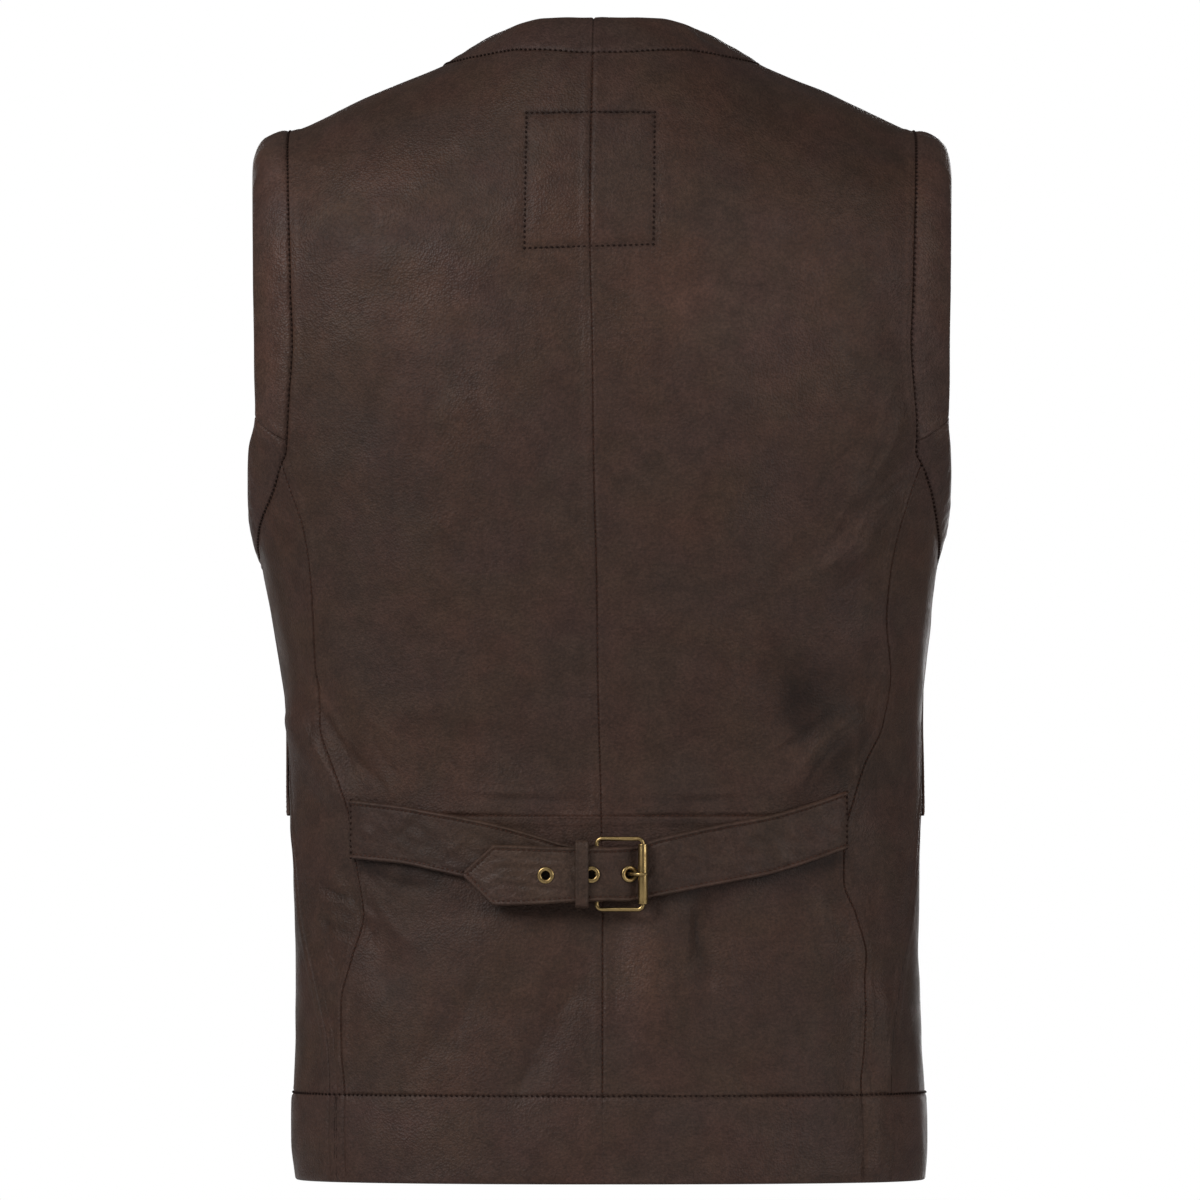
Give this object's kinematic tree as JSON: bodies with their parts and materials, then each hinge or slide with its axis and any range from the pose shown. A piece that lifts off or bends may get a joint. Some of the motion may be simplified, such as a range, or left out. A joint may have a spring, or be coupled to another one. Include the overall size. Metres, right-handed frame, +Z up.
{
  "type": "leather vest with half-belt, filled out as worn",
  "caption": "Collarless leather vest with V neck, padded neck, armhole and hem bands, princess seams and a half-belt with roller buckle across the back",
  "frame": {"origin": "between the shoulders, at the height of the middle of the shoulder line, where the wearer carries the vest", "axes": "+Z up; the wearer faces -Y, so the back of the vest is towards +Y; the wearer's left is +X"},
  "size_m": [0.404, 0.2621, 0.668],
  "materials": {
    "vest_leather": "soft satin",
    "band_leather": "soft satin",
    "belt_leather": "satin",
    "antique_brass": "aged satin"
  },
  "bodies": {
    "root": {"back_upper_left": "vest_leather", "back_upper_right": "vest_leather", "back_lower_left": "vest_leather", "back_lower_right": "vest_leather", "side_panel_left": "vest_leather", "side_panel_right": "vest_leather", "front_left": "vest_leather", "front_right": "vest_leather", "pocket_welt_left": "vest_leather", "pocket_welt_right": "vest_leather", "hem_band_back_left": "band_leather", "hem_band_back_right": "band_leather", "hem_band_side_left": "band_leather", "hem_band_side_right": "band_leather", "hem_band_front_left": "band_leather", "hem_band_front_right": "band_leather", "armhole_band_back_left": "band_leather", "armhole_band_back_right": "band_leather", "armhole_band_front_left": "band_leather", "armhole_band_front_right": "band_leather", "neck_band_left": "band_leather", "neck_band_right": "band_leather", "front_band_left": "band_leather", "front_band_right": "band_leather", "belt_left": "belt_leather", "belt_right": "belt_leather", "belt_keeper": "belt_leather", "buckle_frame": "antique_brass", "buckle_roller": "antique_brass", "buckle_prong": "antique_brass", "eyelet_1": "antique_brass", "eyelet_2": "antique_brass", "eyelet_3": "antique_brass", "press_stud_1": "antique_brass", "press_stud_2": "antique_brass", "press_stud_3": "antique_brass", "press_stud_4": "antique_brass", "press_stud_5": "antique_brass"}
  },
  "joints": []
}
